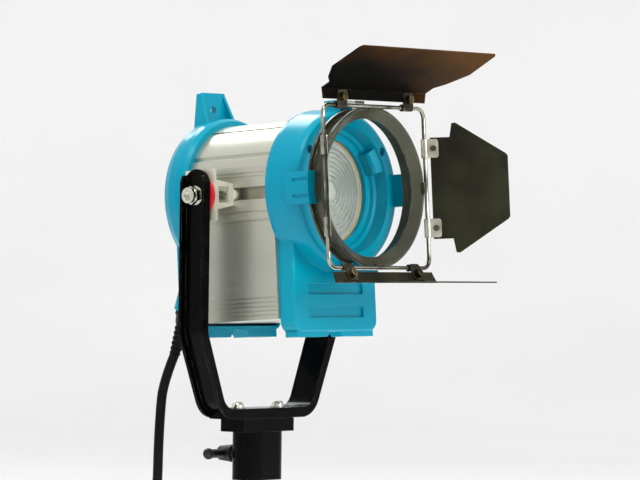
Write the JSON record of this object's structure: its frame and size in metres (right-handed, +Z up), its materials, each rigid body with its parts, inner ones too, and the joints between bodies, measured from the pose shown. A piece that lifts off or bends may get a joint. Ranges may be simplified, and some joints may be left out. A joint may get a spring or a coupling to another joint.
{
  "type": "fresnel spotlight",
  "caption": "Fresnel lens spotlight on a tilting U-shaped yoke, with a rotating four-leaf barn door, focusing lamp carriage, stand socket and coiled mains lead.",
  "frame": {"origin": "centre of the mouth of the stand socket, directly below the tilt pivot", "axes": "+Z up along the stand stud, the lens faces -Y, +X along the tilt axis"},
  "size_m": [0.2297, 0.2823, 0.4864],
  "materials": {
    "black_enamel": "semi-gloss black enamel",
    "blue_enamel": "gloss turquoise-blue enamel over cast aluminium",
    "anodised": "satin anodised extrusion",
    "zinc": "zinc-plated steel",
    "clamp_steel": "plated spring steel",
    "heat_black": "heat-proof matt black",
    "friction_red": "red fibre disc",
    "brass": "brass",
    "lens_glass": "clear borosilicate glass",
    "bulb_glass": "clear quartz glass",
    "tungsten": "tungsten wire",
    "mirror_metal": "polished aluminium",
    "ceramic": "glazed steatite",
    "knob_black": "moulded black plastic",
    "cord_rubber": "black rubber sheath",
    "plug_black": "moulded black plug"
  },
  "bodies": {
    "yoke": {"yoke_bracket": "black_enamel", "stand_socket": "heat_black", "yoke_bolts": "zinc"},
    "socket_lock": {"socket_lock_screw": "zinc", "socket_lock_handle": "knob_black"},
    "tilt_brackets": {"pivot_bracket_left": "zinc", "pivot_bracket_right": "zinc", "bracket_screws": "zinc", "slot_nuts": "zinc", "friction_disc_left": "friction_red", "friction_disc_right": "friction_red", "pivot_bolt": "zinc", "pivot_stud": "zinc"},
    "tilt_lock": {"tilt_lock_knob": "knob_black"},
    "head": {"body_extrusion": "anodised", "bottom_cover": "anodised", "front_casting": "blue_enamel", "rear_casting": "blue_enamel", "front_screws": "zinc", "rear_screws": "zinc", "lens": "lens_glass", "lens_ring": "brass", "lamp_tray": "mirror_metal", "guide_rods": "zinc", "terminal_block": "ceramic", "latch_pin": "zinc", "cable_gland": "knob_black", "strain_relief": "cord_rubber"},
    "focus": {"focus_spindle": "zinc", "focus_knob": "knob_black"},
    "carriage": {"lamp_carriage": "mirror_metal", "lamp_holder": "ceramic", "lamp_base": "ceramic", "lamp_envelope": "bulb_glass", "lamp_filament": "tungsten", "reflector": "mirror_metal"},
    "latch": {"accessory_latch": "zinc"},
    "barndoor": {"barndoor_ring": "heat_black", "barndoor_frame": "zinc"},
    "cord": {"power_cord": "cord_rubber", "cord_coil": "cord_rubber", "cord_tie": "knob_black", "mains_plug": "plug_black", "plug_pins": "brass"},
    "leaf_top": {"leaf_top": "heat_black", "leaf_top_clamps": "clamp_steel", "leaf_top_rivets": "brass"},
    "leaf_bottom": {"leaf_bottom": "heat_black", "leaf_bottom_clamps": "clamp_steel", "leaf_bottom_rivets": "brass"},
    "leaf_left": {"leaf_left": "heat_black", "leaf_left_clamps": "clamp_steel", "leaf_left_rivets": "brass"},
    "leaf_right": {"leaf_right": "heat_black", "leaf_right_clamps": "clamp_steel", "leaf_right_rivets": "brass"}
  },
  "joints": [
    {"name": "head_tilt", "type": "hinge", "parent": "yoke", "child": "tilt_brackets", "pos_m": [0, 0, 0.228], "axis": [-1, 0, 0], "range_deg": [-56, 16]},
    {"name": "balance_slide", "type": "slide", "parent": "tilt_brackets", "child": "head", "axis": [0, 0.9976, -0.0698], "range_m": [-0.003, 0.02]},
    {"name": "tilt_lock_turn", "type": "hinge", "parent": "tilt_brackets", "child": "tilt_lock", "pos_m": [0.095, 0, 0.228], "axis": [1, 0, 0], "range_deg": [0, 360]},
    {"name": "socket_lock_turn", "type": "hinge", "parent": "yoke", "child": "socket_lock", "pos_m": [0, 0.03, 0.02], "axis": [0, 1, 0], "range_deg": [0, 360]},
    {"name": "focus_turn", "type": "hinge", "parent": "head", "child": "focus", "pos_m": [0, 0.05609, 0.16995], "axis": [0, 0.9976, -0.0698], "range_deg": [-541, 541]},
    {"name": "lamp_travel", "type": "slide", "parent": "head", "child": "carriage", "axis": [0, 0.9976, -0.0698], "range_m": [-0.01, 0.01]},
    {"name": "latch_lift", "type": "hinge", "parent": "head", "child": "latch", "pos_m": [0, -0.08105, 0.30183], "axis": [-1, 0, 0], "range_deg": [0, 25], "stiffness_Nm_per_rad": 0.05, "springref_deg": -17.19},
    {"name": "barndoor_spin", "type": "hinge", "parent": "head", "child": "barndoor", "pos_m": [0, -0.10973, 0.23567], "axis": [0, 0.9976, -0.0698], "continuous": true},
    {"name": "cord_hang", "type": "hinge", "parent": "head", "child": "cord", "pos_m": [-0.03, 0.06333, 0.09998], "axis": [-1, 0, 0], "range_deg": [-20, 62]},
    {"name": "leaf_top_swing", "type": "hinge", "parent": "barndoor", "child": "leaf_top", "pos_m": [0, -0.11524, 0.30022], "axis": [-1, 0, 0], "range_deg": [-85, 65]},
    {"name": "leaf_bottom_swing", "type": "hinge", "parent": "barndoor", "child": "leaf_bottom", "pos_m": [0, -0.12417, 0.17253], "axis": [1, 0, 0], "range_deg": [-63.5, 86.5]},
    {"name": "leaf_left_swing", "type": "hinge", "parent": "barndoor", "child": "leaf_left", "pos_m": [-0.064, -0.11971, 0.23637], "axis": [0, -0.0698, -0.9976], "range_deg": [-110.5, 39.5]},
    {"name": "leaf_right_swing", "type": "hinge", "parent": "barndoor", "child": "leaf_right", "pos_m": [0.064, -0.11971, 0.23637], "axis": [0, 0.0698, 0.9976], "range_deg": [-108, 42]}
  ],
  "couplings": [
    {"joint": "focus_turn", "follows": "lamp_travel", "rad_per_m": 942.48},
    {"joint": "cord_hang", "follows": "head_tilt", "ratio": -1}
  ]
}
